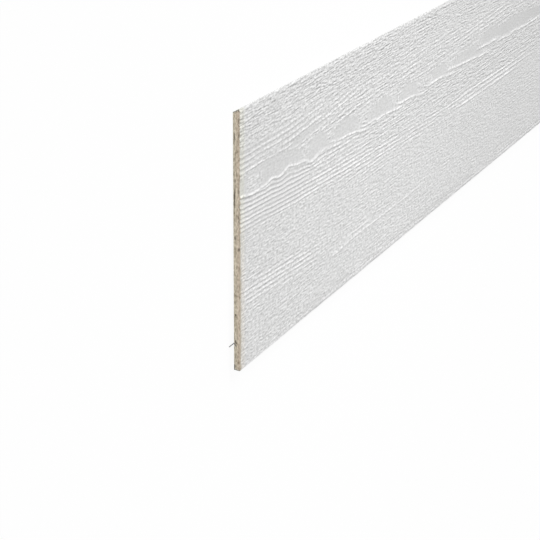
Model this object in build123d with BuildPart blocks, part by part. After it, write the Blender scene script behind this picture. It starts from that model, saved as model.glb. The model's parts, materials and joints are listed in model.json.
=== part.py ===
"""Lap siding board of pressed wood strand, with the alignment spline that hangs it on the course below.

The board lies face up on a level floor. X runs along it, Y across it from the drip edge to the top edge,
and Z points up out of the face. It rests on the spline's free tip and on the back corner of its top edge,
so the whole section leans by a small angle.
"""

import os
from math import atan, cos, radians, sin, tan

from build123d import *

# Board, in millimetres and degrees
board_length = 4876.8
board_width = 300.7
board_thickness = 8.0
top_bevel_angle = 28.0  # the top edge falls towards the back, to seat the spline of the next course
drip_edge_radius = 1.5  # eased corner of the face along the drip edge
top_edge_radius = 0.6  # eased corner of the face along the top edge

# Kerf sawn along the back
kerf_lip_height = 32.0  # lower lip of the kerf, above the drip edge
kerf_depth = 2.4  # of the lower wall, square to the back
kerf_angle = 50.0  # the kerf falls towards the drip edge as it goes in

# Alignment spline: a folded strip with one leg in the kerf and one leg free behind the back
spline_thickness = 1.0
spline_reach = 8.3  # of the free leg, along its underside
spline_angle = 45.0  # the free leg falls towards the drip edge as it leaves the back
spline_fold_radius = 0.8  # outside of the fold
spline_clearance = 0.1  # between the strip and each wall of the kerf

# The section is drawn with x across the board from the drip edge and y through it from the back
back_width = board_width - board_thickness * tan(radians(top_bevel_angle))
kerf_width = spline_thickness + 2 * spline_clearance
kerf_slope = kerf_depth / cos(radians(kerf_angle))
kerf_lip = Vector(kerf_lip_height, 0)
into_kerf = Vector(0, 1).rotate(Axis.Z, kerf_angle)
above_kerf = Vector(1, 0).rotate(Axis.Z, kerf_angle)
out_of_back = Vector(0, -1).rotate(Axis.Z, -spline_angle)
above_free_leg = Vector(1, 0).rotate(Axis.Z, -spline_angle)


def spline_side(lift):
    """One side of the folded strip, lift above its seat: kerf end, fold and free tip."""
    kerf_end = kerf_lip + into_kerf * (kerf_slope - spline_clearance) + above_kerf * lift
    mitre = (above_kerf + above_free_leg) / (1 + above_kerf.dot(above_free_leg))
    free_tip = kerf_lip + out_of_back * spline_reach + above_free_leg * lift
    return [kerf_end, kerf_lip + mitre * lift, free_tip]


underside = spline_side(spline_clearance)
upper_side = spline_side(spline_clearance + spline_thickness)
upper_fold, lowest_tip = upper_side[1:]

# Lean that brings the spline's tip and the back corner of the top edge to the same level
lean = atan(-lowest_tip.Y / (back_width - lowest_tip.X))
across = Vector(0, cos(lean), -sin(lean))
through = Vector(0, sin(lean), cos(lean))
half_across = (across * board_width + through * board_thickness).Y / 2
floor_drop = (across * lowest_tip.X + through * lowest_tip.Y).Z
near_end = Plane(
    origin=(-board_length / 2, -half_across, -floor_drop),
    x_dir=across,
    z_dir=(1, 0, 0),
)

with BuildPart() as siding_board:
    with BuildSketch(near_end) as board_section:
        with BuildLine():
            Polyline(
                (0, 0),
                (back_width, 0),
                (board_width, board_thickness),
                (0, board_thickness),
                close=True,
            )
        make_face()
        fillet(board_section.vertices().group_by(Axis.Y)[-1].sort_by(Axis.X)[0], drip_edge_radius)
        fillet(board_section.vertices().sort_by(Axis.X)[-1], top_edge_radius)
        with Locations(kerf_lip):
            Rectangle(
                kerf_width,
                2 * kerf_slope,
                rotation=kerf_angle,
                align=(Align.MIN, Align.CENTER),
                mode=Mode.SUBTRACT,
            )
    extrude(amount=board_length)

with BuildPart() as alignment_spline:
    with BuildSketch(near_end) as spline_section:
        with BuildLine():
            Polyline(*underside, *reversed(upper_side), close=True)
        make_face()
        fillet(spline_section.vertices().sort_by_distance(upper_fold)[0], spline_fold_radius)
    extrude(amount=board_length)

os.makedirs("parts", exist_ok=True)
siding_board.part.label = "siding_board"
export_step(siding_board.part, "parts/siding_board.step")
alignment_spline.part.label = "alignment_spline"
export_step(alignment_spline.part, "parts/alignment_spline.step")
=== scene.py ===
# %% [markdown]
# A lap siding board
#
# This lesson dresses one long cladding board for its photograph. The board is pressed from wood strand, its
# face is embossed like rough cedar and primed a light grey-white, its ends are sawn and raw, and a folded
# plastic strip sits in a kerf along its back. The solid model already gives every size and place, in
# metres. So Blender's work here is what the solids leave out: the relief of the face, and the finish of
# every surface.

# %% Load the solid model as a fixed frame
import json
from collections import namedtuple

import bpy
import numpy as np
from mathutils import Matrix, Vector


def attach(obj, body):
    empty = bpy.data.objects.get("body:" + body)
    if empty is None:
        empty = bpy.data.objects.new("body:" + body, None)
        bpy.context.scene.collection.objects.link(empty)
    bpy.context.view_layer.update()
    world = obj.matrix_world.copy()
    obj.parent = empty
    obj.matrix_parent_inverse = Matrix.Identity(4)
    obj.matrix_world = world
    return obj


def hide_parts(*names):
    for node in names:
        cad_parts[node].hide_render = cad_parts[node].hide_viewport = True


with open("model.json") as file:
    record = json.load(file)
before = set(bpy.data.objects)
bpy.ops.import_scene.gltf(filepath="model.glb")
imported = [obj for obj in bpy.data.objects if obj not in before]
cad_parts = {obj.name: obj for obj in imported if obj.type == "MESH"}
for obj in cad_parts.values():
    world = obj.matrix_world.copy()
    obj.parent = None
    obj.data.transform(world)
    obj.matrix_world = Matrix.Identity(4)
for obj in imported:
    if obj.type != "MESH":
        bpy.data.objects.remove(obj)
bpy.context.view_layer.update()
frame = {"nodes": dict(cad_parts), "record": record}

MM = 0.001

# %% [markdown]
# The board's own axes
#
# The board lies face up, but not quite level: it rests on the strip's free tip and on the back of its top
# edge. A maker measures along it, across it from the drip edge, and through it from the back. The packed
# record gives the direction out of the face and the middle of the near end, which fixes those three axes.
# Everything below is worked out in millimetres on them, and turned into the shared frame at the end by one
# function.

# %% Board axes
mounts = {mount["name"]: mount for mount in frame["record"]["mounts"]}
along = np.array([1.0, 0.0, 0.0])
outward = np.array(mounts["front_face"]["axis"])
across = np.cross(outward, along)
board_width = 300.7
board_thickness = 8.0
near_middle = np.array(mounts["near_butt_end"]["pos_m"])
far_middle = np.array(mounts["far_butt_end"]["pos_m"])
board_length = (far_middle - near_middle) @ along / MM
hair = 0.001  # lifts the skin by a rounding error, so that it stays inside the solid's box
half_section = MM * (across * board_width + outward * board_thickness) / 2
drip_corner = near_middle - half_section + MM * hair * outward


def in_frame(u, v, w):
    """Places in the shared frame: the back corner of the drip edge plus u along, v across and w outward."""
    u, v, w = (np.asarray(part, float)[..., None] for part in (u, v, w))
    return drip_corner + MM * (u * along + v * across + w * outward)


print(f"board {board_length:.1f} mm long, leaning {np.degrees(np.arcsin(outward[1])):.2f} degrees")

# %% [markdown]
# Smooth random hills
#
# Wood is never regular, so the relief needs a random pattern that can be stretched along the grain. A
# common one is lattice noise: random heights at whole-number points, blended smoothly in between. It is
# written for whole arrays, and a seed picks the hills, so the board comes out the same each time. Three
# small curves go with it: a smooth step, a band between two steps, and a bell.

# %% Lattice noise, steps, bands and bells
LATTICE = 256


def hills(x, y, seed):
    """Heights from -1 to 1: random values at lattice points, blended along x and y by 3t^2 - 2t^3."""
    heights = np.random.default_rng(seed).uniform(-1, 1, (LATTICE, LATTICE))
    x, y = np.broadcast_arrays(np.asarray(x, float), np.asarray(y, float))
    column, row = np.floor(x).astype(int), np.floor(y).astype(int)
    s, t = (part * part * (3 - 2 * part) for part in (x - column, y - row))
    corner = [[heights[(column + i) % LATTICE, (row + j) % LATTICE] for j in (0, 1)] for i in (0, 1)]
    low = corner[0][0] * (1 - s) + corner[1][0] * s
    high = corner[0][1] * (1 - s) + corner[1][1] * s
    return low * (1 - t) + high * t


def ease(low, high, x):
    """Rises smoothly from 0 at low to 1 at high."""
    t = np.clip((x - low) / (high - low), 0, 1)
    return t * t * (3 - 2 * t)


def band(low, high, soft, x):
    """One between low and high, and zero outside, with edges that are soft wide on each side."""
    return ease(low - soft, low + soft, x) * (1 - ease(high - soft, high + soft, x))


def bell(x, width):
    """One at zero, falling off to both sides as e to the power of minus (x / width) squared."""
    return np.exp(-(x / width) ** 2)


print("lattice noise ready,", LATTICE, "points to a side")

# %% [markdown]
# The embossed face: heart flames
#
# A press plate gives the face the look of a flat-sawn cedar board. This could be a displacement texture,
# but then the mesh itself would stay flat. Here it is a height for each place on the face, so the relief is
# really in the mesh. In these functions u runs along the board and v across it, in millimetres. So
# hills(u / 60, v / 24, seed) gives hills about 60 mm long and 24 mm wide.
#
# Where the saw runs along the heart, the rings open into long smooth flames, one behind the other. Each lies
# between a wavy raised rim and a bent upper edge. A narrow branch lies above the first two, and rough grain
# breaks into some of them. The first nine are placed from the photograph, and from there they go on at random.
# Each flame is a mask made of smooth steps.

# %% Heart flames
Flame = namedtuple("Flame", "start end rim_start rim_end top peak")
RoughPatch = namedtuple("RoughPatch", "start end low high")
flames = [
    Flame(-45, 172, 200.8, 200.8, 230.0, 0.95),
    Flame(138, 226, 202.5, 196.0, 226.0, 0.9),
    Flame(212, 302, 203.5, 193.5, 223.0, 0.9),
    Flame(293, 402, 199.5, 193.5, 220.0, 1.5),
    Flame(400, 484, 200.5, 191.5, 219.0, 0.9),
    Flame(500, 590, 199.5, 193.5, 218.0, 0.8),
    Flame(578, 722, 202.5, 192.5, 217.5, 0.9),
    Flame(690, 802, 206.5, 200.5, 232.0, 0.9),
    Flame(744, 1040, 201.5, 195.0, 227.0, 0.65),
]
rough_patches = [
    RoughPatch(18, 48, 206, 219),
    RoughPatch(145, 160, 206, 214),
    RoughPatch(205, 221, 207, 220),
    RoughPatch(296, 318, 205, 216),
    RoughPatch(388, 408, 205, 216),
    RoughPatch(473, 516, 197, 211),
]
flame_draws = np.random.default_rng(40).uniform(0, 1, (48, 3))
for length_draw, gap_draw, top_draw in flame_draws:
    flame_start = flames[-1].end - 10 + 40 * gap_draw
    flame_end = flame_start + 50 + 90 * length_draw
    flames.append(Flame(flame_start, flame_end, 201.0, 194.0, 214.0 + 14 * top_draw, 0.6 + top_draw))


def rim_wander(u):
    """How far the rim strays from its flame's straight line: bells near the end, then random hills."""
    humps = 4 * bell(u, 16) + 3.2 * bell(u - 70, 10) + 5 * bell(u - 110, 13) - 5 * bell(u - 163, 15)
    further = ease(450, 650, u)
    random_part = 1.5 * hills(u / 15, 0.4, 21) + (1.3 + further) * hills(u / 34, 0.7, 22)
    random_part += 2.2 * further * hills(u / 24, 0.6, 23)
    random_part += 1.7 * ease(680, 760, u) * np.sin(u / 6.3 + 2 * hills(u / 90, 0.5, 27))
    return humps + ease(90, 160, u) * random_part


def heart_flames(u, v):
    """Masks of the smooth flames, each from its rim up to a power of a sine, and of the raised rims."""
    wander = rim_wander(u)
    ragged = 1.3 * hills(u / 12, v / 3, 24) + 0.9 * hills(u / 26, v / 6, 25)
    upper_soft = 3.0 + 3 * ease(600, 760, u)
    smooth, rim = np.zeros((2, *u.shape))
    for flame in flames:
        part = np.clip((u - flame.start) / (flame.end - flame.start), 0, 1)
        lens = np.sin(np.pi * part ** flame.peak) ** 0.6
        low = flame.rim_start + (flame.rim_end - flame.rim_start) * part + wander
        high = low + (flame.top - low) * lens
        leaf = ease(-1.0, 2.0, v - low) * ease(-1.0, upper_soft, high - v + ragged) * ease(0.2, 0.7, lens)
        smooth = np.maximum(smooth, leaf)
        rim = np.maximum(rim, bell(v - low + 0.5, 1.1) * band(flame.start, flame.end + 12, 9, u))
    branch_half = 5.5 * np.sin(np.pi * np.clip((u - 100) / 106, 0.001, 0.999))
    branch = (v - 227 - 0.075 * (u - 105)) / branch_half
    smooth = np.maximum(smooth, 1 - ease(0.6, 1.2, np.abs(branch) + 0.15 * ragged))
    quiet = 0.6 * band(206, 226, 5, v + ragged) * ease(-0.5, 0.1, hills(u / 32, v / 9, 26))
    smooth = np.maximum(smooth, quiet)
    for patch in rough_patches:
        rough_along = band(patch.start, patch.end, 6, u)
        smooth *= 1 - 0.9 * rough_along * band(patch.low, patch.high, 3, v + 1.5 * ragged)
    return smooth, rim


print(len(flames), "flames along the heart, the last one ending at", round(flames[-1].end), "mm")

# %% [markdown]
# Growth rings below the heart
#
# On both sides of the heart the growth rings stand up as ridges five or six millimetres apart, strong next
# to the heart and broken further out. Contour lines of one long bump would give such rings too, but they
# would be hard to steer. So each side has a phase that counts its rings, and a slide that bends them along
# the board.

# %% Growth rings below the heart


def crest(phase):
    """A row of rounded ridges about a mean of zero, one to a unit of phase: (1 + cosine) / 2, squared."""
    return (0.5 + 0.5 * np.cos(2 * np.pi * phase)) ** 2 - 0.375


def ring_slide(u):
    """How far the rings below the heart have slid towards the drip edge at each place along the board."""
    slide = 0.03 * np.minimum(u, 640) + 6 * ease(80, 240, u) - 3 * ease(540, 680, u)
    slide += 3.2 * bell(u - 104, 52) - 1.7 * bell(u - 405, 45)
    return slide + 6 * ease(1000, 1500, u) * np.cos(u / 300)


def rings_below(u, v, close_by):
    """Rings below the heart: ridges parallel to the rim near it, sliding down along the board."""
    slide = ring_slide(u)
    spacing = 5.0 + 0.4 * ease(150, 300, u) + 1.5 * ease(590, 680, u) - 1.2 * ease(950, 1150, u)
    wander = (0.9 - 0.5 * close_by) * hills(u / 60, v / 24, 3) + 0.35 * hills(u / 22, v / 12, 4)
    wander += 0.3 * close_by * hills(u / 9, v / 5, 5)
    pull = rim_wander(u) * np.exp(-np.abs(v - 201) / 9)
    phase = (v - 170.5 + slide - pull + wander) / spacing
    whole = ease(-0.9, 0.2, hills(u / 60, np.round(phase), 8))
    level = 0.95 - 0.3 * ease(290, 350, u) + 0.75 * ease(620, 660, u) - 1.1 * ease(820, 880, u)
    level += 0.4 * ease(1000, 1200, u)
    further = ease(240, 340, u)
    strong_low, strong_high = 162.5 - 8.5 * further, 184 - 9 * further
    upper = 0.15 + 0.75 * close_by + 0.2 * ease(680, 760, u)
    strong = level * band(strong_low, strong_high, 3, v + slide)
    strong += upper * band(strong_high, 206 + 0.4 * slide, 4, v + slide) + 0.08
    return crest(phase) * (0.4 + 0.6 * whole) * strong * (1 - ease(205, 212, v))


print(f"rings below the heart slide {ring_slide(np.array(640.0)):.1f} mm in the first 640 mm")

# %% [markdown]
# Other growth rings
#
# The rings above the heart rise along the board instead of sliding down, and they are more broken. A short
# group and two single ridges lie low on the face. The group has a phase like the others. Two ridges need no
# phase, so they are bells along one wandering path.

# %% Growth rings above and low down
above_spacing = 6.2
low_spacing = 5.6


def rings_above(u, v, close_by):
    """Rings above the heart: level at first, then rising along the board, and broken."""
    rise = 0.05 * np.maximum(u - 105, 0) + 9 * ease(105, 320, u)
    wander = 0.9 * hills(u / 70, v / 25, 14) + 0.5 * hills(u / 20, v / 9, 15)
    wander += 0.3 * close_by * hills(u / 9, v / 5, 16)
    phase = (v - 235.5 - rise + wander) / above_spacing
    whole = ease(-0.6, 0.5, hills(u / 40, np.round(phase), 7) + 0.3 * close_by)
    strong = (0.9 - 0.2 * close_by) * band(216, 255, 6, v)
    strong += (0.35 - 0.25 * ease(140, 260, u)) * band(255, 300, 8, v)
    return crest(phase) * (0.3 + 0.7 * whole) * strong * (1 - 0.25 * ease(250, 330, u))


def lone_rings(u, v):
    """A group of ridges low on the face that fades out along the board, then two single ridges."""
    height = v - 81.8 + 0.0625 * (u - 115)
    group = crest(height / low_spacing) * np.exp(-(height / 14) ** 4)
    group *= ease(-40, 40, u) * (1 - ease(140, 225, u))
    path = 57.2 - 4.2 * (1 - ease(190, 300, u)) + 0.8 * hills(u / 30, 0.2, 34)
    single = bell(v - path, 1.3) * band(220, 500, 30, u)
    single += 0.5 * bell(v - path - 7, 1.3) * band(240, 340, 25, u)
    return group + 0.75 * single


print("rings lie", above_spacing, "mm apart above the heart and", low_spacing, "mm low on the face")

# %% [markdown]
# Saw dashes and the drip edge
#
# Between the rings lie the short dashes of a rough saw, strong by the top edge and weaker below. Thousands
# of them in the mesh would cost too many triangles. So this only says how strong they are in each place,
# and most of them are left to the material. Along the drip edge the plate leaves two broken ridges with a
# groove between them.

# %% Saw dashes and drip edge


def saw_dashes(u, v):
    """Strength of the rough-sawn dashes by zones: most by the top edge, less among the rings and below."""
    among_rings = 0.65 * band(226, 262, 6, v) + 0.5 * band(150, 206, 4, v)
    rough = band(262, 310, 8, v) + among_rings * (0.35 + 0.65 * ease(120, 260, u))
    rough += 0.55 * band(90, 156, 6, v) + 0.5 * band(-10, 90, 8, v) + 0.6 * band(203, 229, 4, v)
    rough += 0.5 * band(160, 194, 6, v) * ease(240, 400, u)
    return rough * (0.75 + 0.25 * ease(60, 260, u)) * (1 + 0.25 * hills(u / 45, v / 20, 13))


def edge_ridges(u, v):
    """Two broken ridges by the drip edge with a groove between them, on a shelf that falls to the edge."""
    begun = ease(90, 170, u)
    stray = 0.8 * hills(u / 30, 0.4, 35)
    outer = bell(v - 4.4 - stray, 1.2) * ease(-0.4, 0.3, hills(u / 24, 0.6, 32))
    inner = bell(v - 9.4 - hills(u / 36, 0.4, 36), 1.3) * ease(-0.3, 0.4, hills(u / 30, 0.8, 33))
    groove = bell(v - 6.9 - stray, 1.1) * ease(-0.2, 0.4, hills(u / 27, 0.3, 38))
    shelf = (1 - ease(9, 15, v)) * ease(-0.4, 0.3, hills(u / 38, v / 30, 37))
    fall = np.clip(1 - v / 4, 0, 1) ** 2 * (1 + 0.9 * hills(u / 16, 0.3, 31))
    return begun * (0.5 * outer + 0.5 * inner - 0.5 * groove - 0.3 * shelf - 0.5 * fall)


dash_samples = saw_dashes(np.array(400.0), np.array([280.0, 120.0, 50.0]))
print("dashes by the top edge, below the heart and low down:", dash_samples.round(2))

# %% [markdown]
# The whole relief
#
# Now everything is added up. Rings and dashes fade out on the flames, the flames are sunk a little, their
# rims stand up, and the face rounds off towards its top edge. Only the longest dashes, close to the near
# end, go into the mesh. The sum could be one long formula, but in named parts each of them can be turned
# off and looked at alone.

# %% The whole relief


def face_relief(u, v):
    """Height of the face in mm, the height of its finest dashes, and how far the flames are sunk in it."""
    close_by = 1 - ease(120, 420, u)
    smooth, rim = heart_flames(u, v)
    plain = 1 - 0.85 * smooth
    dashes = saw_dashes(u, v) * plain
    dash = 0.6 * hills(u / 26, v / 3.4, 12) + 0.4 * hills(u / 13, v / 3.0, 11)
    rings = rings_below(u, v, close_by) + rings_above(u, v, close_by)
    height = (0.95 * rings + 0.25 * dashes * dash * (1 - ease(150, 350, u))) * plain
    rim_height = 0.9 + 0.4 * ease(350, 620, u)
    height += 0.9 * lone_rings(u, v) + rim_height * rim + edge_ridges(u, v)
    top_fall = 1.1 * np.clip((v - board_width + 4.5) / 4.5, 0, 1) ** 2
    sunk = 0.3 * smooth
    return height - top_fall - sunk, dashes, sunk


sample = face_relief(*np.meshgrid(np.arange(0, 300, 3.0), np.arange(20, 280, 1.0), indexing="ij"))[0]
print(f"relief near the end from {sample.min():.2f} to {sample.max():.2f} mm")

# %% [markdown]
# The section's outline
#
# Seen from its end the board is a flat bar with an eased drip edge, a bevelled top edge and a thin kerf in
# its back. Extruding that outline would be enough for a plain bar, but the face needs many points across to
# carry the relief. They crowd among the rings, and spread out where only dashes lie.

# %% Section outline
drip_radius = 1.5
top_radius = 0.6
top_bevel = np.radians(28)
kerf_lip = 32.0
kerf_depth = 2.4
kerf_angle = np.radians(50)
kerf_width = 1.2
back_width = board_width - board_thickness * np.tan(top_bevel)
face_columns = 300


def arc(centre, radius, start, end, count):
    """Points on a circle at evenly spaced angles from start to end, in degrees."""
    angle = np.radians(np.linspace(start, end, count))
    return np.stack([centre[0] + radius * np.cos(angle), centre[1] + radius * np.sin(angle)], 1)


def face_points():
    """Places across the face, about one to a millimetre: even steps of a running sum of the crowding."""
    top_start = board_width - top_radius * (np.tan(top_bevel) + 1 / np.cos(top_bevel))
    even = np.linspace(drip_radius, top_start, 3000)
    crowding = 1 + 0.5 * band(214, 258, 3, even) + 0.25 * band(134, 206, 3, even)
    crowding -= 0.6 * band(106, 131, 3, even)
    share = np.cumsum(crowding)
    v = np.interp(np.linspace(share[0], share[-1], face_columns), share, even)
    return np.stack([v, np.full_like(v, board_thickness)], 1)


def section_outline():
    """The outline in order: face, eased top edge, bevel, back with its kerf, drip edge and its easing."""
    face = face_points()
    top_centre = face[-1] - (0, top_radius)
    top = arc(top_centre, top_radius, 90, np.degrees(-top_bevel), 6)[1:]
    into = np.array([-np.sin(kerf_angle), np.cos(kerf_angle)]) * kerf_depth / np.cos(kerf_angle)
    up = np.array([np.cos(kerf_angle), np.sin(kerf_angle)]) * kerf_width
    lip = np.array([kerf_lip, 0.0])
    upper_lip = lip + (kerf_width / np.cos(kerf_angle), 0)
    corners = np.array([(back_width, 0), upper_lip, lip + into + up, lip + into, lip, (0, 0)])
    drip = arc((drip_radius, board_thickness - drip_radius), drip_radius, 180, 90, 6)[:-1]
    outline = np.concatenate([face, top, corners, drip])
    first_corner = len(face) + len(top)
    sharp = np.arange(first_corner, first_corner + len(corners))
    return outline, len(face), sharp


outline, face_count, sharp_columns = section_outline()
print(len(outline), "points round the section,", face_count, "of them on the face")

# %% [markdown]
# Stations along the board
#
# The outline is carried along the board station by station. Even steps would waste most of them on the far
# end. The camera sees the near end from close by, so the stations crowd there and the steps grow further
# on.

# %% Stations along the board
station_count = 296
fine_share = 0.15


def stations():
    """Distances from the near end: an even part plus a fourth power, so the steps grow along the board."""
    part = np.linspace(0, 1, station_count)
    return board_length * (fine_share * part + (1 - fine_share) * part ** 4)


u_line = stations()
print(f"station steps from {u_line[1] - u_line[0]:.1f} mm to {u_line[-1] - u_line[-2]:.1f} mm")

# %% [markdown]
# The board as one closed skin
#
# Stations and outline points make a grid of whole arrays. The face's points move by the relief, and all
# others stay on the plain outline. The leaning board is highest at its drip edge, so the relief there is
# kept lower than elsewhere and the skin stays inside the solid's box. Quads join neighbouring points, and
# two end caps close it.

# %% Skin of the board
face_drop = 0.15  # the embossed face lies this much below the plain one
drip_headroom = -0.05  # highest relief at the drip edge
headroom_slope = 0.02  # how much higher it may be for each millimetre across


def board_arrays():
    """Vertices on the grid of stations and outline points, with the face moved by its relief."""
    u, v = np.meshgrid(u_line, outline[:, 0], indexing="ij")
    w = np.broadcast_to(outline[:, 1], v.shape).copy()
    height, dashes, sunk = face_relief(u, v)
    height = np.minimum(height - face_drop, headroom_slope * v + drip_headroom)
    lift = np.clip((w - board_thickness + drip_radius) / drip_radius, 0, 1)
    w += height * lift
    return u, v, w, (height + sunk) * lift, dashes * lift


def skin_faces(rows, columns):
    """Quads between neighbouring stations and outline points, closed round the section."""
    number = np.arange(rows * columns).reshape(rows, columns)
    right = np.roll(number, -1, axis=1)
    return np.stack([number[:-1], number[1:], right[1:], right[:-1]], -1).reshape(-1, 4), number


u, v, w, depth, fine = board_arrays()
quads, number = skin_faces(*u.shape)
caps = [number[0].tolist(), number[-1, ::-1].tolist()]
board_mesh = bpy.data.meshes.new("embossed_board")
board_mesh.from_pydata(in_frame(u, v, w).reshape(-1, 3).tolist(), [], quads.tolist() + caps)
print("board triangles:", 2 * len(quads) + sum(len(cap) - 2 for cap in caps))

# %% [markdown]
# Numbers that the finish can read
#
# The paint has to know where it is on the board, how deep the relief is there, for its painted shade in the
# valleys, and how high the fine dashes are. Texture coordinates could tell the place, but not the rest. So
# each vertex keeps these numbers as named fields: its place in metres, and the two heights in millimetres.

# %% Point fields


def add_point_field(mesh, name, values):
    """Keeps one number, or one vector, for each vertex under a name that a material can read."""
    vector = values.ndim == 2
    field = mesh.attributes.new(name, "FLOAT_VECTOR" if vector else "FLOAT", "POINT")
    field.data.foreach_set("vector" if vector else "value", values.astype(np.float32).ravel())


add_point_field(board_mesh, "board_place", MM * np.stack([u, v, w], -1).reshape(-1, 3))
add_point_field(board_mesh, "relief_depth", depth.ravel())
add_point_field(board_mesh, "dash_height", fine.ravel())
print("point fields on", len(board_mesh.vertices), "vertices")

# %% [markdown]
# Sharp edges
#
# The face should shade smoothly, but the corners of the back, the kerf and the saw cut are crisp. A limit
# on the angle would also crease steep ridges. So the edges to keep sharp are picked by their place in the
# grid: those along a corner column, and those round an end.

# %% Sharp edges
edge_ends = np.zeros(2 * len(board_mesh.edges), int)
board_mesh.edges.foreach_get("vertices", edge_ends)
edge_rows, edge_columns = np.divmod(edge_ends.reshape(-1, 2), u.shape[1])
same_column = edge_columns[:, 0] == edge_columns[:, 1]
on_corner = same_column & np.isin(edge_columns[:, 0], sharp_columns)
on_cap = (edge_rows[:, 0] == edge_rows[:, 1]) & np.isin(edge_rows[:, 0], (0, station_count - 1))
sharp_edges = board_mesh.attributes.new("sharp_edge", "BOOLEAN", "EDGE")
sharp_edges.data.foreach_set("value", on_corner | on_cap)
board_mesh.polygons.foreach_set("use_smooth", np.append(np.ones(len(quads), bool), [False, False]))
print("sharp edges:", int((on_corner | on_cap).sum()), "of", len(edge_rows))

# %% [markdown]
# Three finishes on one board
#
# The face and both long edges are primed, the ends are sawn, and the back with its kerf is raw. These could
# be three meshes, but the board is one piece. So it stays one object with three material slots. It rides on
# the body root and stands in for the plain solid.

# %% Slots and object
PRIMER, SAWN_END, STRAND_BACK = range(3)
quad_columns = np.tile(np.arange(u.shape[1]), station_count - 1)
bare = (quad_columns >= sharp_columns[0]) & (quad_columns < sharp_columns[-1])
slots = np.where(bare, STRAND_BACK, PRIMER)
board_mesh.polygons.foreach_set("material_index", np.append(slots, [SAWN_END, SAWN_END]))
board_mesh.update()
board = bpy.data.objects.new("embossed_board", board_mesh)
bpy.context.scene.collection.objects.link(board)
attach(board, "root")
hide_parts("siding_board")
print("quads with primer:", int((slots == PRIMER).sum()), "and raw:", int((slots == STRAND_BACK).sum()))

# %% [markdown]
# Shader maths as plain expressions
#
# A material is a tree of nodes, and clicking sums together takes many of them. One small class wraps a
# node's output, so that sums of outputs can be written as Python and each operator adds its Math node. Its
# method make adds a node of any other kind: settings first, then the sockets. The rest are short names for
# what the finishes use most.

# %% A wire through a material


class Wire:
    """One output of a material's node tree. Arithmetic on wires adds Math nodes."""

    def __init__(self, tree, socket=None):
        self.tree = tree
        self.socket = socket

    def make(self, kind, settings=None, sockets=None, output=0):
        """Adds a node: its settings, then its sockets from numbers or wires; gives one output."""
        node = self.tree.nodes.new(kind)
        for name, value in (settings or {}).items():
            if name == "stops":
                self.fill_ramp(node.color_ramp.elements, value)
            else:
                setattr(node, name, value)
        for name, value in (sockets or {}).items():
            if isinstance(value, Wire):
                self.tree.links.new(value.socket, node.inputs[name])
            else:
                node.inputs[name].default_value = value
        return Wire(self.tree, node.outputs[output])

    def fill_ramp(self, elements, stops):
        """Sets a colour ramp's stops from pairs of a place and a colour."""
        while len(elements) < len(stops):
            elements.new(1.0)
        for element, (place, colour) in zip(elements, stops):
            element.position = place
            element.color = (*colour, 1.0)

    def math(self, operation, first, second):
        """Adds a Math node for one operation on two wires or numbers."""
        return self.make("ShaderNodeMath", {"operation": operation}, {0: first, 1: second})

    def __add__(self, other):
        return self.math("ADD", self, other)

    def __sub__(self, other):
        return self.math("SUBTRACT", self, other)

    def __rsub__(self, other):
        return self.math("SUBTRACT", other, self)

    def __mul__(self, other):
        return self.math("MULTIPLY", self, other)

    def __truediv__(self, other):
        return self.math("DIVIDE", self, other)

    __radd__ = __add__
    __rmul__ = __mul__

    def rise(self, low, high):
        """Climbs smoothly from 0 at low to 1 at high."""
        limits = {"Value": self, "From Min": low, "From Max": high}
        return self.make("ShaderNodeMapRange", {"interpolation_type": "SMOOTHSTEP"}, limits)

    def blend(self, first, second):
        """Mixes two colours by this wire: the first at 0, the second at 1."""
        return self.make("ShaderNodeMix", {"data_type": "RGBA"}, {0: self, 6: first, 7: second}, 2)

    def tinted(self, tint, amount):
        """This colour multiplied by a tint, as far as the amount says."""
        settings = {"data_type": "RGBA", "blend_type": "MULTIPLY"}
        return self.make("ShaderNodeMix", settings, {0: amount, 6: self, 7: tint}, 2)

    def ramp(self, stops):
        """A colour for each value of this wire, between stops."""
        return self.make("ShaderNodeValToRGB", {"stops": stops}, {"Fac": self})

    def axes(self):
        """Splits a vector into its three numbers."""
        node = self.make("ShaderNodeSeparateXYZ", None, {"Vector": self}).socket.node
        return [Wire(self.tree, socket) for socket in node.outputs]

    def noise(self, x, y, z=0.0, detail=2.0):
        """A noise texture's value at a place given by three wires or numbers, one feature to a unit."""
        place = self.make("ShaderNodeCombineXYZ", None, {"X": x, "Y": y, "Z": z})
        return self.make("ShaderNodeTexNoise", None, {"Vector": place, "Scale": 1.0, "Detail": detail})

    def bump(self, strength, distance):
        """The normal of a surface that has this wire as its height."""
        sockets = {"Strength": strength, "Distance": distance, "Height": self}
        return self.make("ShaderNodeBump", None, sockets)


print("wire methods:", [name for name in vars(Wire) if not name.startswith("_")])

# %% [markdown]
# Starting and closing a material
#
# Every material here starts from one Principled shader and ends by linking wires to it. A board material
# also reads the fields that the mesh keeps. Four short helpers do that, so that each finish below is only
# about its looks.

# %% Material helpers


def new_material(name):
    """A material with one Principled shader; gives the material, a wire to build from, and the shader."""
    material = bpy.data.materials.new(name)
    material.use_nodes = True
    shader = material.node_tree.nodes["Principled BSDF"]
    return material, Wire(material.node_tree), shader


def connect(shader, **sockets):
    """Links wires to the shader's sockets, or sets plain numbers on them; underscores stand for spaces."""
    for name, value in sockets.items():
        socket = shader.inputs[name.replace("_", " ")]
        if isinstance(value, Wire):
            shader.id_data.links.new(value.socket, socket)
        else:
            socket.default_value = value


def grey(value):
    """A neutral colour."""
    return (value, value, value, 1.0)


def point_field(wire, name, output="Fac"):
    """A number, or with output Vector a vector, that the mesh keeps for each vertex."""
    return wire.make("ShaderNodeAttribute", {"attribute_name": name}, None, output)


point_names = [field.name for field in board_mesh.attributes if field.domain == "POINT"]
print("fields that a board material can read:", point_names)
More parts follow.
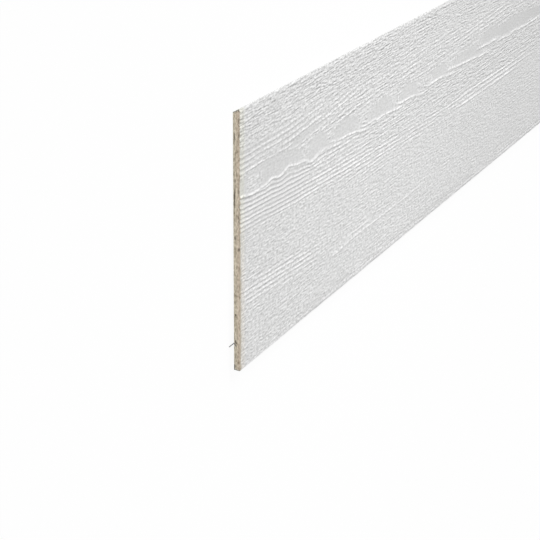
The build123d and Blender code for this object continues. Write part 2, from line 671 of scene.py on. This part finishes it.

# %% [markdown]
# Paint tone and painted shade
#
# The face and the long edges carry a flat light grey-white primer. Flat paint shows relief mostly by light,
# and its own colour changes little, with a faint cloudiness from the spray. Painted shade makes it greyer in
# the valleys and on the flames, most on the far flames. On the sawn parts, streaks and small specks of painted
# shade, finer than the mesh, stand for the shade of the saw dashes.

# %% Paint tone and painted shade
paint_dark = (0.545, 0.545, 0.542, 1.0)
paint_light = (0.85, 0.85, 0.847, 1.0)


def paint_tone_and_shade(wire, x, y, depth, sawn):
    """Colour of the paint with its clouds, and painted shade: by its depth, on the flames, and as streaks and
    specks on the sawn parts.
    """
    # Painted shade: the paint greys where the relief is deep.
    valley_shade = depth.rise(-0.6, 0.2)
    cloud = wire.noise(x / 0.09, y / 0.04, 2.0)
    # Painted shade of the fine saw dashes: streaks and specks, strongest on the sawn parts.
    streak_shade = wire.noise(x / 0.022, y / 0.0034, 3.0, 1.0)
    speck_shade = wire.noise(x / 0.0045, y / 0.0020, 7.0, 0.0)
    tone = (streak_shade - 0.5) * (sawn * 0.55 + 0.15) + (speck_shade - 0.5) * (sawn * 0.6 + 0.4) * 2.0
    # Painted shade: the flames are greyer than the sawn parts, and the far flames greyer still.
    painted_flame_shade = (1 - sawn) * x.rise(0.62, 0.95) * 0.13
    shade = (valley_shade - 0.6) * 0.2 + (cloud - 0.5) * 0.2 + tone + sawn * 0.1 - painted_flame_shade + 0.43
    return shade.blend(paint_dark, paint_light)


print("paint lies between", paint_dark[:3], "and", paint_light[:3])

# %% [markdown]
# Primer, worn at its edges, with a painted highlight on the drip edge
#
# Paint wears at edges: it is thin and warm close to the saw cut, and chipped off at the cut itself. Along the
# arris of the drip edge it is paler, a painted highlight that breaks up further along the board. The finest
# saw dashes are bump, scaled by the height that the mesh keeps for them, so they fade out on the smooth
# flames.

# %% Primer coat


def worn_edges_and_lit_arris(wire, x, y, paint):
    """The paint with a painted highlight on a broken arris at the drip edge, thinned and then chipped towards
    the saw cut.
    """
    arris_gaps = x.rise(0.11, 0.17) * wire.noise(x / 0.02, 4.0, 4.0, 0.0).rise(0.42, 0.6)
    # Painted highlight: a pale arris along the drip edge, with gaps further along the board.
    arris = (1 - y.rise(0.0008, 0.0024)) * (1 - arris_gaps)
    lit_arris_paint = arris.blend(paint, grey(0.93))
    thinned = 1 - x.rise(0.006, 0.0135)
    wood_tint = y.rise(0.11, 0.2).blend((1.0, 0.968, 0.92, 1.0), (1.0, 0.995, 0.925, 1.0))
    chip = wire.noise(x / 0.004, y / 0.005, 12.0, 2.0) * 0.006 + (1 - y.rise(0.1, 0.24)) * 0.0016
    chipped = 1 - (x - chip).rise(-0.0036, -0.0010)
    return chipped.blend(lit_arris_paint.tinted(wood_tint, thinned), (0.50, 0.455, 0.375, 1.0))


def primer_coat():
    """Light grey-white paint with painted shade and a painted highlight on the drip edge's arris, worn towards
    the saw cut, with fine saw dashes.
    """
    material, wire, shader = new_material("primer_coat")
    x, y, _ = point_field(wire, "board_place", "Vector").axes()
    depth = point_field(wire, "relief_depth")
    height = point_field(wire, "dash_height")
    paint = paint_tone_and_shade(wire, x, y, depth, height.rise(0.08, 0.3))
    coarse = wire.noise(x / 0.022, y / 0.0027, 5.0, 0.0)
    fine = wire.noise(x / 0.009, y / 0.0023, 9.0, 0.0)
    lift = ((coarse - 0.5) * 1.1 + (fine - 0.5) * 1.1) * height
    connect(shader, Base_Color=worn_edges_and_lit_arris(wire, x, y, paint), Roughness=0.62, Normal=lift.bump(1.0, MM))
    connect(shader, Specular_IOR_Level=0.35)
    return material


board_mesh.materials.append(primer_coat())
print("primer nodes:", len(board_mesh.materials[PRIMER].node_tree.nodes))

# %% [markdown]
# Sawn end
#
# The end shows the strands edge on: thin tan layers that run across the board, greyer by the back and
# darker by the face, with a few dark gaps and knots. Stretched noise gives the layers. The dark marks of
# the near end are few and easy to see, so they are placed one by one, and noise roughens their outlines.
# The two at 34 and 36 mm are the dark wedge above the kerf. Both corners are darker grey.

# %% Sawn end
Mark = namedtuple("Mark", "middle height length width darkness")
end_marks = [
    Mark(269, 1.8, 7, 0.7, 0.75),
    Mark(203, 1.5, 13, 0.8, 1.0),
    Mark(222, 2.3, 4, 0.8, 0.5),
    Mark(180, 6.7, 8, 0.7, 0.7),
    Mark(211, 6.3, 3, 0.9, 0.5),
    Mark(288, 6.6, 3, 0.9, 0.5),
    Mark(272, 6.7, 3, 0.9, 0.6),
    Mark(195, 7.0, 3, 0.8, 0.5),
    Mark(158, 2.2, 2.5, 1.2, 0.7),
    Mark(145.5, 6.7, 1.8, 1.3, 0.8),
    Mark(83, 2.5, 2.5, 1.2, 0.35),
    Mark(67.5, 2.3, 1.7, 1.1, 0.9),
    Mark(50, 2.0, 1.8, 0.9, 0.45),
    Mark(35.6, 1.8, 1.6, 0.9, 0.95),
    Mark(34.0, 3.0, 1.6, 0.9, 0.95),
    Mark(17, 2.0, 3, 0.8, 0.45),
    Mark(4, 0.8, 4, 0.9, 0.95),
    Mark(298.5, 7.2, 1.2, 1.0, 1.0),
]
fibre_stops = [
    (0.34, (0.26, 0.213, 0.15)),
    (0.46, (0.54, 0.473, 0.38)),
    (0.54, (0.70, 0.625, 0.515)),
    (0.66, (0.86, 0.785, 0.665)),
]
through_stops = [
    (0.15, (0.93, 0.955, 0.925)),
    (0.5, (1.0, 0.98, 0.945)),
    (0.78, (0.97, 0.92, 0.895)),
    (1.0, (0.85, 0.80, 0.77)),
]


def spot(y, z, mark):
    """A soft-edged oval, as dark as its mark says in the middle and zero outside."""
    across_part = (y - mark.middle * MM) / (mark.length * MM)
    through_part = (z - mark.height * MM) / (mark.width * MM)
    spread = across_part * across_part + through_part * through_part
    return (1 - spread.rise(0.1, 1.6)) * mark.darkness


def sawn_end():
    """Strand layers seen edge on: tan fibre tinted through the thickness, dark marks and darker grey corners.
    """
    material, wire, shader = new_material("sawn_strand_end")
    x, y, z = point_field(wire, "board_place", "Vector").axes()
    other_end = x * 7.0
    grain = wire.noise(y / 0.0042, z / 0.0017, other_end, 2.0)
    layers = wire.noise(y / 0.022, z / 0.0009, other_end + 3.0, 2.0)
    patch = wire.noise(y / 0.03, z / 0.004, other_end + 6.0, 1.0)
    thin = wire.noise(y / 0.014, z / 0.00045, other_end + 20.0, 1.0)
    mixed = grain * 0.55 + layers * 0.25 + patch * 0.2
    fibre = (mixed + (thin - 0.5) * 0.1).ramp(fibre_stops)
    fibre = fibre.tinted((z / (board_thickness * MM)).ramp(through_stops), 1.0)
    ragged_y = y + (wire.noise(y / 0.003, z / 0.0015, 9.0, 1.0) - 0.5) * 0.004
    ragged_z = z + (wire.noise(y / 0.004, z / 0.0015, 14.0, 1.0) - 0.5) * 0.0016
    near_end = 1 - x.rise(1.0, 2.0)
    dark = sum(spot(ragged_y, ragged_z, mark) for mark in end_marks) * near_end
    fibre = wire.math("MINIMUM", dark, 1.0).blend(fibre, (0.115, 0.10, 0.075, 1.0))
    # Darker grey along both corners of the end.
    top_gap = z * np.tan(top_bevel) + back_width * MM - y
    dark_corners = wire.math("MAXIMUM", 1 - top_gap.rise(0.0003, 0.0016), 1 - y.rise(0.0004, 0.0018))
    colour = (dark_corners * 0.85).blend(fibre, (0.25, 0.27, 0.26, 1.0))
    rough_cut = (mixed + thin * 0.4).bump(0.6, 0.3 * MM)
    connect(shader, Base_Color=colour, Roughness=0.8, Normal=rough_cut, Specular_IOR_Level=0.2)
    return material


board_mesh.materials.append(sawn_end())
print("sawn end has", len(end_marks), "dark marks")

# %% [markdown]
# Raw back
#
# The back shows the same strands flat, each with a tone and grain of its own. They lie roughly along the
# board, in two lays at a small angle to each other. A Voronoi texture measured along its axes gives long
# box-like cells, one for each strand, and the gap between its two nearest points gives the dark seams.

# %% Raw back
back_stops = [
    (0.28, (0.20, 0.135, 0.075)),
    (0.45, (0.40, 0.295, 0.18)),
    (0.58, (0.53, 0.41, 0.265)),
    (0.75, (0.64, 0.52, 0.36)),
]


def strands(wire, x, y, turn, seed):
    """One lay of long strands at an angle to the board: their tone and grain, and their dark rims."""
    lengthwise = x * np.cos(turn) + y * np.sin(turn)
    sideways = y * np.cos(turn) - x * np.sin(turn)
    bend = wire.noise(lengthwise / 0.06, sideways / 0.01, seed) * 0.002
    cell = {"X": lengthwise / 0.1, "Y": (sideways + bend) / 0.016, "Z": seed}
    sockets = {"Vector": wire.make("ShaderNodeCombineXYZ", None, cell), "Scale": 1.0}
    nearest = {"distance": "CHEBYCHEV", "feature": "F1"}
    second = {"distance": "CHEBYCHEV", "feature": "F2"}
    tone = wire.make("ShaderNodeTexVoronoi", nearest, sockets, "Color").axes()[0]
    to_nearest = wire.make("ShaderNodeTexVoronoi", nearest, sockets)
    gap = wire.make("ShaderNodeTexVoronoi", second, sockets) - to_nearest
    grain = wire.noise(lengthwise / 0.04, sideways / 0.0009, tone * 9.0, 3.0)
    return tone * 0.5 + grain * 0.5, 1 - gap.rise(0.0, 0.06)


def strand_back():
    """Two lays of strands seen flat, one showing through the other in patches, with dark seams."""
    material, wire, shader = new_material("raw_strand_back")
    x, y, _ = point_field(wire, "board_place", "Vector").axes()
    upper, upper_rim = strands(wire, x, y, np.radians(9), 2.5)
    lower, lower_rim = strands(wire, x, y, np.radians(-14), 7.5)
    chosen = wire.noise(x / 0.07, y / 0.025, 11.0, 1.0).rise(0.46, 0.5)
    mixed = upper * chosen + lower * (1 - chosen)
    seam = upper_rim * chosen + lower_rim * (1 - chosen)
    colour = (seam * 0.4).blend(mixed.ramp(back_stops), (0.13, 0.09, 0.055, 1.0))
    uneven = (mixed - seam * 0.4).bump(0.7, 0.4 * MM)
    connect(shader, Base_Color=colour, Roughness=mixed * 0.3 + 0.6, Normal=uneven, Specular_IOR_Level=0.25)
    return material


board_mesh.materials.append(strand_back())
print("board finishes:", [material.name for material in board_mesh.materials])

# %% [markdown]
# The plastic strip
#
# The strip's solid is already right, so it stays and only takes a finish: plain grey extruded plastic, with
# the fine lines that a die leaves along it.

# %% Strip finish


def strip_plastic():
    """Grey extruded plastic with die lines along its length."""
    material, wire, shader = new_material("grey_strip_plastic")
    x, y, z = wire.make("ShaderNodeTexCoord", None, None, "Object").axes()
    lines = wire.noise(x / 0.4, y / 0.0006, z / 0.0006, 1.0)
    colour = lines.blend(grey(0.15), grey(0.21))
    connect(shader, Base_Color=colour, Roughness=lines * 0.2 + 0.4, Normal=lines.bump(0.3, 0.1 * MM))
    return material


strip = frame["nodes"]["alignment_spline"]
strip.data.materials.clear()
strip.data.materials.append(strip_plastic())
print("strip finish:", strip.data.materials[0].name)

# %% [markdown]
# Floor and world
#
# The photograph is a cut-out on white. A white floor in plain light would come out either grey or burnt out,
# and never just white. So floor and world glow plain white for the rays of the camera, of mirrors and of
# glass, and stay pale and soft for all other light. The floor keeps a small share of its own shading, and
# with it a faint shadow of the board.

# %% Floor and world
floor_half = 30.0
floor_glow = 0.95  # the rest of the floor's look is its own shading
floor_tone = 0.96
world_fill = 0.36
SEEN_RAYS = ("Is Camera Ray", "Is Glossy Ray", "Is Transmission Ray")


def white_ground(tree, pale, glow_share):
    """Shading that glows white, by a share, for camera, mirror and glass rays, and is plain for all others."""
    wire = Wire(tree)
    paths = wire.make("ShaderNodeLightPath").socket.node.outputs
    camera, glossy, through = (Wire(tree, paths[name]) for name in SEEN_RAYS)
    seen = wire.math("MINIMUM", camera + glossy + through, 1.0)
    glow = wire.make("ShaderNodeEmission", None, {"Color": grey(1.0), "Strength": 1.0})
    return wire.make("ShaderNodeMixShader", None, {0: seen * glow_share, 1: pale, 2: glow})


def floor_plane():
    """A plain pale floor at the level that the board lies on."""
    mesh = bpy.data.meshes.new("floor")
    corners = floor_half * np.array([(-1, -1, 0), (1, -1, 0), (1, 1, 0), (-1, 1, 0)])
    mesh.from_pydata(corners.tolist(), [], [(0, 1, 2, 3)])
    material = bpy.data.materials.new("pale_floor")
    material.use_nodes = True
    tree = material.node_tree
    tree.nodes.remove(tree.nodes["Principled BSDF"])
    pale = Wire(tree).make("ShaderNodeBsdfDiffuse", None, {"Color": grey(floor_tone)})
    shown = white_ground(tree, pale, floor_glow)
    tree.links.new(shown.socket, tree.nodes["Material Output"].inputs["Surface"])
    mesh.materials.append(material)
    floor = bpy.data.objects.new("floor", mesh)
    bpy.context.scene.collection.objects.link(floor)


def pale_world():
    """An even pale sky, white where the camera, a mirror or glass looks at it."""
    world = bpy.data.worlds.new("pale_room")
    world.use_nodes = True
    tree = world.node_tree
    tree.nodes["Background"].inputs["Color"].default_value = grey(world_fill)
    sky = Wire(tree, tree.nodes["Background"].outputs[0])
    shown = white_ground(tree, sky, 1.0)
    tree.links.new(shown.socket, tree.nodes["World Output"].inputs["Surface"])
    bpy.context.scene.world = world


floor_plane()
pale_world()
print("floor", 2 * floor_half, "m wide, world", bpy.context.scene.world.name)

# %% [markdown]
# Light
#
# In the photograph each ridge has a bright side towards the top edge and a dark side towards the drip edge,
# and the near part of the board is a little lighter than the far part. A soft sun from the side of the top
# edge gives the ridges the same light over the whole length. One small soft lamp above the near part adds
# the rest, and its light falls off along the board by itself.

# %% Soft sun and lamp
sun_direction = Vector(-0.2 * along + 0.81 * across + 0.545 * outward).normalized()
sun_data = bpy.data.lights.new("soft_sun", "SUN")
sun_data.energy = 2.9
sun_data.angle = np.radians(22)
sun = bpy.data.objects.new("soft_sun", sun_data)
sun.rotation_euler = sun_direction.to_track_quat("Z", "Y").to_euler()
bpy.context.scene.collection.objects.link(sun)
lamp_along, lamp_across, lamp_out = 330, 160, 560
lamp_data = bpy.data.lights.new("soft_lamp", "AREA")
lamp_data.shape = "DISK"
lamp_data.size = 0.5
lamp_data.energy = 0.5
lamp = bpy.data.objects.new("soft_lamp", lamp_data)
lamp.matrix_world = Matrix.Translation(in_frame(lamp_along, lamp_across, lamp_out))
bpy.context.scene.collection.objects.link(lamp)
print("sun stands", round(float(np.degrees(np.arcsin(sun_direction.z)))), "degrees high")

# %% [markdown]
# Camera
#
# The camera was fitted to the edges of the board in the photograph: its eye is given on the board's own
# axes, in millimetres, and its focal length in pixels of the picture. The board lies flat here, so the
# picture's up direction leans far over, and the board comes out as in the photograph.

# %% Camera
image_size = 540
sensor = 36.0
focal_pixels = 1360.8
eye_along, eye_across, eye_out = -1147.1, 712.3, 671.0
look = Vector(0.8017 * along - 0.4067 * across - 0.4380 * outward).normalized()
picture_up = Vector(0.3536 * along + 0.9135 * across - 0.2010 * outward)
right = look.cross(picture_up).normalized()
picture_up = right.cross(look)
camera_data = bpy.data.cameras.new("photo_camera")
camera_data.sensor_width = sensor
camera_data.lens = focal_pixels * sensor / image_size
camera_data.clip_end = 200
camera = bpy.data.objects.new("photo_camera", camera_data)
turn = Matrix([right, picture_up, -look]).transposed().to_4x4()
camera.matrix_world = Matrix.Translation(in_frame(eye_along, eye_across, eye_out)) @ turn
bpy.context.scene.collection.objects.link(camera)
bpy.context.scene.camera = camera
bpy.context.scene.view_settings.view_transform = "Standard"
print(f"camera lens {camera_data.lens:.1f} mm, eye {[round(v, 3) for v in camera.location]}")

# %% [markdown]
# Sizes and finish
#
# The dressed board must stay inside the box of the solids that it stands for.
